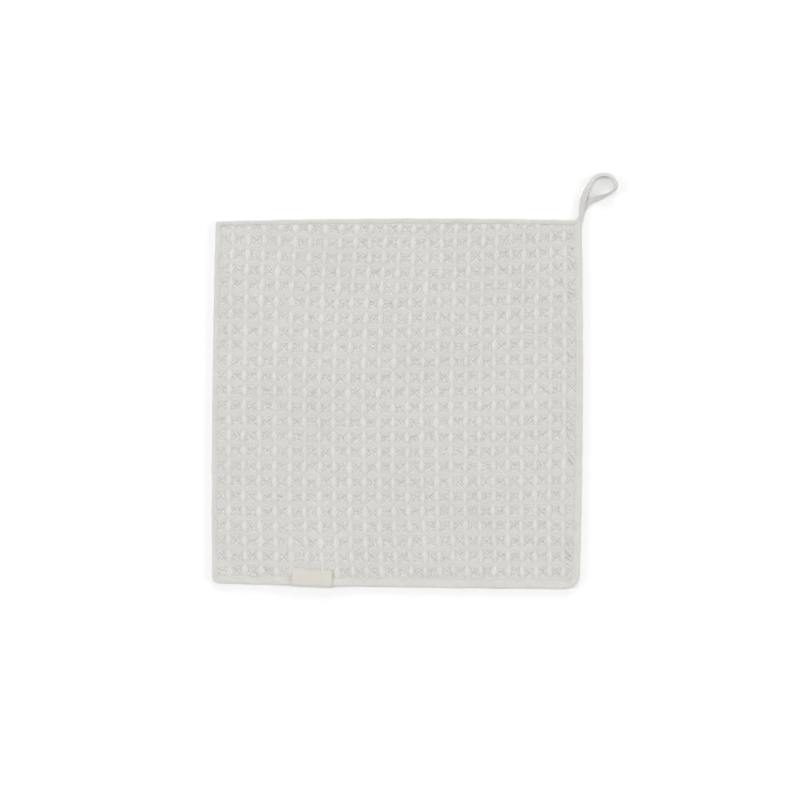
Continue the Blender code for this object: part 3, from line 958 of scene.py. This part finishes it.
def hanging_loop(material):
    """The loop: one tape from the corner round and back, its two ends one above the other."""
    path = loop_path()
    length = lengths_along(path[:, 0], path[:, 1])
    rough = wander(length, *TAPE_ROUGH)
    points = []
    uvs = []
    for station, way, along, wider in zip(path, loop_headings(path), length, rough):
        x, y, width, tilt, low_edge = station
        lean = math.radians(tilt)
        side = np.array((-way[1] * math.cos(lean), way[0] * math.cos(lean), math.sin(lean)))
        out = np.array((way[1] * math.sin(lean), -way[0] * math.sin(lean), math.cos(lean)))
        half = width / 2 + wider
        ring = [side * half * wide + out * TAPE_THICK / 2 * thick for wide, thick in TAPE_SECTION]
        lowest = min(spot[2] for spot in ring)
        centre = np.array((x, y, max(0.0, low_edge) - lowest))
        for (wide, _), spot in zip(TAPE_SECTION, ring):
            points.append(centre + spot)
            uvs.append((along * 1000, wide * half * 1000))
    count = len(TAPE_SECTION)
    faces = [tuple(range(count)), tuple(range(len(points) - count, len(points)))[::-1]]
    faces += ring_faces(len(path), count)
    return add_mesh("hanging_loop_tape", points, faces, material, uvs)


# Materials

class Nodes:
    """A material's node tree, with short calls for the nodes that these cloths use."""

    def __init__(self, name):
        self.material = bpy.data.materials.new(name)
        self.material.use_nodes = True
        self.tree = self.material.node_tree
        self.shader = self.tree.nodes["Principled BSDF"]

    def fill(self, node, inputs):
        """Plain values or other nodes' outputs, into a node's sockets."""
        for name, value in inputs.items():
            if hasattr(value, "is_output"):
                self.tree.links.new(value, node.inputs[name])
            else:
                node.inputs[name].default_value = value

    def add(self, kind, inputs, **settings):
        """The outputs of a new node with these inputs and settings."""
        node = self.tree.nodes.new(kind)
        for name, value in settings.items():
            setattr(node, name, value)
        self.fill(node, inputs)
        return node.outputs

    def math(self, operation, first, second=0.0, third=0.0):
        return self.add("ShaderNodeMath", {0: first, 1: second, 2: third}, operation=operation)[0]

    def times(self, first, second):
        return self.math("MULTIPLY", first, second)

    def less(self, first, second):
        return self.math("SUBTRACT", first, second)

    def added(self, base, value, factor):
        """base with factor times value added."""
        return self.math("MULTIPLY_ADD", value, factor, base)

    def comes(self, value, low, high, to_low=0.0, to_high=1.0):
        """A soft step up over a span of values."""
        inputs = {"Value": value, "From Min": low, "From Max": high, "To Min": to_low, "To Max": to_high}
        return self.add("ShaderNodeMapRange", inputs, interpolation_type="SMOOTHSTEP")["Result"]

    def goes(self, value, low, high):
        """A soft step down over a span of values."""
        return self.comes(value, low, high, 1.0, 0.0)

    def between(self, coming, going, low, high, full, gone):
        """A soft step up of one value times a soft step down of another."""
        return self.times(self.comes(coming, low, high), self.goes(going, full, gone))

    def noise(self, scale, detail, roughness):
        """Noise over the piece's own coordinates."""
        spot = self.add("ShaderNodeTexCoord", {})["Object"]
        inputs = {"Vector": spot, "Scale": scale, "Detail": detail, "Roughness": roughness}
        return self.add("ShaderNodeTexNoise", inputs)["Fac"]

    def breaks(self, scale, detail, roughness, low, high):
        """Noise that comes over a span of its values."""
        return self.comes(self.noise(scale, detail, roughness), low, high)

    def weave_uv(self):
        spot = self.add("ShaderNodeUVMap", {}, uv_map="weave")["UV"]
        parts = self.add("ShaderNodeSeparateXYZ", {0: spot})
        return parts[0], parts[1]

    def tint(self, share, dark, light):
        inputs = {0: share, 6: (*dark, 1.0), 7: (*light, 1.0)}
        return self.add("ShaderNodeMix", inputs, data_type="RGBA")[2]

    def bump(self, height, distance, strength):
        inputs = {"Height": height, "Distance": distance, "Strength": strength}
        return self.add("ShaderNodeBump", inputs)["Normal"]

    def finish(self, colour, normal, roughness, sheen):
        """The material with its shader filled in."""
        self.fill(self.shader, {
            "Base Color": colour,
            "Normal": normal,
            "Roughness": roughness,
            "Specular IOR Level": 0.25,
            "Sheen Weight": sheen,
            "Sheen Roughness": 0.5,
        })
        return self.material


def yarn_backs(nodes, value, count):
    """Yarns' rounded backs, count of them a unit: 0 between yarns, 1 on them."""
    turned = nodes.times(value, math.pi * count)
    return nodes.math("ABSOLUTE", nodes.math("SINE", turned))


def from_rib(nodes, value):
    """Distance from the nearest rib: 0 on it, 1 in the middle between two."""
    return nodes.times(nodes.math("PINGPONG", value, 0.5), 2.0)


def cloth_yarns(nodes, column, row, lean):
    """Yarns that lie upright on the upright ribs and level on the level ones."""
    upright = nodes.comes(lean, *SIDE_TURN)
    level = nodes.less(1.0, upright)
    yarns = nodes.times(yarn_backs(nodes, column, YARNS_A_CELL), upright)
    return nodes.added(yarns, yarn_backs(nodes, row, YARNS_A_CELL), level)


def lens_marks(nodes, column, from_upright, from_level):
    """The swellings, with a painted highlight that is stronger on their left side, and a painted shade
    round their edge, stronger on the right.
    """
    opened = nodes.less(from_level, LENS_FROM)
    opened = nodes.math("MAXIMUM", nodes.math("DIVIDE", opened, 1 - LENS_FROM), 0.0)
    half = nodes.added(2 * LENS_TIP, nodes.math("POWER", opened, LENS_POINTED), 2 * LENS_WIDE)
    aside = nodes.math("DIVIDE", from_upright, half)
    lens = nodes.between(from_level, aside, *LENS_SPANS)
    side = nodes.less(nodes.math("FRACT", nodes.math("ADD", column, 0.5)), 0.5)
    on_right = nodes.comes(side, *SIDE_TURN)
    # Painted highlight: the left side of each swelling is lit more, as by a light from the left
    lit_left_side = nodes.times(lens, nodes.less(1.0, on_right))
    # Painted shade round the swelling's edge where it drops into the hollow, stronger on the right, away
    # from the light
    outline = nodes.between(aside, aside, *EDGE_SHADE_SPANS)
    outline = nodes.times(outline, nodes.comes(from_level, *EDGE_SHADE_START))
    outline = nodes.times(outline, nodes.added(1 - EDGE_SHADE_RIGHT, on_right, EDGE_SHADE_RIGHT))
    return lens, lit_left_side, outline


def band_marks(nodes, lens, from_level):
    """The flat level ribs, given a little painted shade, their broken edges, where a painted highlight
    lies, and a painted highlight along their middle.
    """
    off_lens = nodes.less(1.0, lens)
    band = nodes.goes(from_level, *BAND_GOES)
    edge = nodes.between(from_level, from_level, *BAND_EDGE_SPANS)
    edge = nodes.times(edge, nodes.breaks(*BAND_BREAKS))
    line = nodes.goes(from_level, *LINE_GOES)
    return band, nodes.times(edge, off_lens), nodes.times(line, off_lens)


def hollow_marks(nodes, column, lean, from_upright, from_level):
    """The hollows and the creases across them, where shade is painted in, and the short steps of the weave
    beside the creases.
    """
    off_crease = nodes.math("ABSOLUTE", lean)
    crease = nodes.between(from_level, off_crease, *CREASE_SPANS)
    hollow = nodes.comes(nodes.times(from_upright, from_level), *HOLLOW_COMES)
    valley = nodes.between(from_level, off_crease, *VALLEY_SPANS)
    hollow = nodes.times(hollow, nodes.added(1 - VALLEY_SHARE, valley, VALLEY_SHARE))
    wobble = nodes.less(nodes.noise(*STAIR_WOBBLE), 0.5)
    steps = nodes.times(nodes.added(lean, wobble, STAIR_SWING), 2 * math.pi / STAIR_LONG)
    stairs = nodes.times(nodes.math("COSINE", steps), hollow)
    stairs = nodes.times(stairs, nodes.breaks(*STAIR_BREAKS))
    # Less painted shade in the hollows past the last rib
    hollow = nodes.times(hollow, nodes.comes(column, *MARGIN_SPAN, 1.0, MARGIN_SHARE))
    return hollow, crease, stairs


def pulled_creases(nodes, column, row):
    """Short slanted creases between the last rib and the right-hand seam, where stitches pull the cloth;
    they dent the bump and have shade painted into the colour.
    """
    past = nodes.less(column, HOLLOW_COLUMNS)
    where = nodes.between(past, past, *PULL_SPANS)
    line = nodes.added(nodes.times(row, PULLS_A_CELL), past, -PULL_SLANT)
    line = nodes.math("FRACT", nodes.added(line, nodes.noise(*PULL_SWAY), PULL_SWING))
    line = nodes.goes(nodes.math("ABSOLUTE", nodes.less(line, 0.5)), *PULL_WIDE)
    return nodes.times(nodes.times(line, where), nodes.breaks(*PULL_BREAKS))


def waffle_cloth():
    """Cotton yarns that float along the ribs and cross in the hollows, with highlights and shade painted
    into the colour.
    """
    nodes = Nodes("waffle_cloth")
    column, row = nodes.weave_uv()
    from_upright = from_rib(nodes, column)
    from_level = from_rib(nodes, row)
    lean = nodes.less(from_level, from_upright)
    yarns = cloth_yarns(nodes, column, row, lean)
    lens, lit_left_side, outline = lens_marks(nodes, column, from_upright, from_level)
    band, lit_band_edge, line = band_marks(nodes, lens, from_level)
    hollow, crease, stairs = hollow_marks(nodes, column, lean, from_upright, from_level)
    pulls = pulled_creases(nodes, column, row)
    patches = nodes.noise(*CLOTH_PATCHES)
    speckle = nodes.times(nodes.less(patches, 0.5), TONE_SPECKLE)
    speckle = nodes.added(speckle, nodes.less(nodes.noise(*CLOTH_GRAIN), 0.5), TONE_GRAIN)
    rough_here = nodes.added(SPECKLE_LEAST, hollow, SPECKLE_MORE)
    marks = (
        # Painted highlight on the swellings, stronger on their left side
        (lit_left_side, LENS_LEFT_HIGHLIGHT),
        (lens, LENS_HIGHLIGHT),
        # Painted shade round the swellings' edges
        (outline, -LENS_EDGE_SHADE),
        # Painted shade on the level ribs, painted highlight on their edges and along their middle
        (band, BAND_SHADE),
        (lit_band_edge, BAND_EDGE_HIGHLIGHT),
        (line, BAND_CREST_HIGHLIGHT),
        # Painted shade in the creases across the hollows
        (crease, -CREASE_SHADE),
        (stairs, -TONE_STAIRS),
        # Painted shade in the hollows, deepest along their diagonal valleys
        (hollow, -HOLLOW_SHADE),
        (speckle, rough_here),
        (nodes.less(nodes.noise(*CLOTH_BROAD), 0.5), TONE_BROAD),
        (nodes.less(yarns, YARNS_MEAN), TONE_YARNS),
        # Painted shade in the pulled creases
        (pulls, -PULL_CREASE_SHADE),
    )
    tone = TONE_MIDDLE
    for mark, strength in marks:
        tone = nodes.added(tone, mark, strength)
    height = nodes.added(yarns, nodes.noise(*CLOTH_FIBRES), FIBRES_HIGH)
    height = nodes.added(height, nodes.times(patches, rough_here), PATCHES_HIGH)
    height = nodes.added(height, pulls, -PULLS_DEEP)
    colour = nodes.tint(tone, CLOTH_DARK, CLOTH_LIGHT)
    return nodes.finish(colour, nodes.bump(height, CLOTH_BUMP, 1.0), roughness=0.92, sheen=0.12)


def tape_cloth(name):
    """A plain woven tape or a thread: small yarns over and under, with uneven fibres."""
    dark, light, bump_deep, pitch, sheen, roughness = TAPES[name]
    nodes = Nodes(name)
    along, over = nodes.weave_uv()
    yarns = nodes.times(yarn_backs(nodes, along, 1 / pitch), yarn_backs(nodes, over, 1 / pitch))
    patches = nodes.noise(*TAPE_PATCHES)
    tone = nodes.added(0.2, yarns, 0.25)
    tone = nodes.added(tone, patches, 0.45)
    tone = nodes.added(tone, nodes.noise(*TAPE_BROAD), 0.25)
    colour = nodes.tint(nodes.comes(tone, 0.1, 0.9), dark, light)
    height = nodes.added(yarns, nodes.noise(*TAPE_FIBRES), 0.5)
    height = nodes.added(height, patches, 1.2)
    return nodes.finish(colour, nodes.bump(height, bump_deep, 0.8), roughness, sheen)


def plain_floor():
    """The pale surface below."""
    nodes = Nodes("pale_floor")
    colour = nodes.tint(nodes.noise(*FLOOR_MOTTLE), FLOOR_DARK, FLOOR_LIGHT)
    nodes.fill(nodes.shader, {"Base Color": colour, "Roughness": 1.0, "Specular IOR Level": 0.0})
    return nodes.material


# Floor, light and camera

def add_floor():
    """The surface that the towel lies on."""
    half = FLOOR_SIZE / 2
    corners = [(-half, -half), (half, -half), (half, half), (-half, half)]
    points = [(x + MIDDLE[0], y + MIDDLE[1], -FLOOR_DROP) for x, y in corners]
    floor = add_mesh("pale_surface", points, [(0, 1, 2, 3)], plain_floor(), smooth=False)


def add_light(name, spot, size, power):
    """A round soft light that faces the towel."""
    data = bpy.data.lights.new(name, "AREA")
    data.shape = "DISK"
    data.size = size
    data.energy = power
    lamp = bpy.data.objects.new(name, data)
    bpy.context.scene.collection.objects.link(lamp)
    lamp.location = spot
    lamp.rotation_euler = (-Vector(spot)).to_track_quat("-Z", "Y").to_euler()


def add_low_lights():
    """The low lights, each at its own direction."""
    rise = math.radians(LOW_LIGHT_RISE)
    level = LOW_LIGHT_AWAY * math.cos(rise)
    for number, (direction, power) in enumerate(LOW_LIGHTS):
        angle = math.radians(direction)
        spot = (level * math.cos(angle), level * math.sin(angle), LOW_LIGHT_AWAY * math.sin(rise))
        add_light(f"low_light_{number}", spot, LOW_LIGHT_SIZE, power)


def add_world():
    """Even white light from all round."""
    world = bpy.data.worlds.new("even_light")
    world.use_nodes = True
    background = world.node_tree.nodes["Background"]
    background.inputs["Color"].default_value = (1.0, 1.0, 1.0, 1.0)
    background.inputs["Strength"].default_value = WORLD_LIGHT
    bpy.context.scene.world = world


def add_camera():
    """The camera, straight above."""
    data = bpy.data.cameras.new("above")
    data.lens = CAMERA_LENS
    data.sensor_width = CAMERA_SENSOR
    data.clip_start = CAMERA_NEAR
    data.clip_end = CAMERA_FAR
    camera = bpy.data.objects.new("above", data)
    camera.location = CAMERA_AT
    bpy.context.scene.collection.objects.link(camera)
    bpy.context.scene.camera = camera


def main():
    """All pieces, attached to the towel's body with the parts they replace hidden, and the stage."""
    cloth = waffle_panel(waffle_cloth())
    binding = edge_binding(tape_cloth("binding_tape"))
    stitches = binding_stitches(tape_cloth("stitch_thread"))
    loop = hanging_loop(tape_cloth("loop_tape"))
    label = folded_label(tape_cloth("label_weave"))
    small_stitches = label_stitches(tape_cloth("tan_thread"))
    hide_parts("waffle_panel")
    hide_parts("edge_binding")
    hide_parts("hanging_loop")
    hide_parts("folded_label")
    others = [binding, stitches, loop, label, small_stitches]
    for piece in [cloth] + others:
        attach(piece, "root")
    add_floor()
    add_light("soft_window", WINDOW_AT, WINDOW_SIZE, WINDOW_POWER)
    add_low_lights()
    add_world()
    add_camera()
    bpy.context.scene.view_settings.view_transform = "Standard"


main()
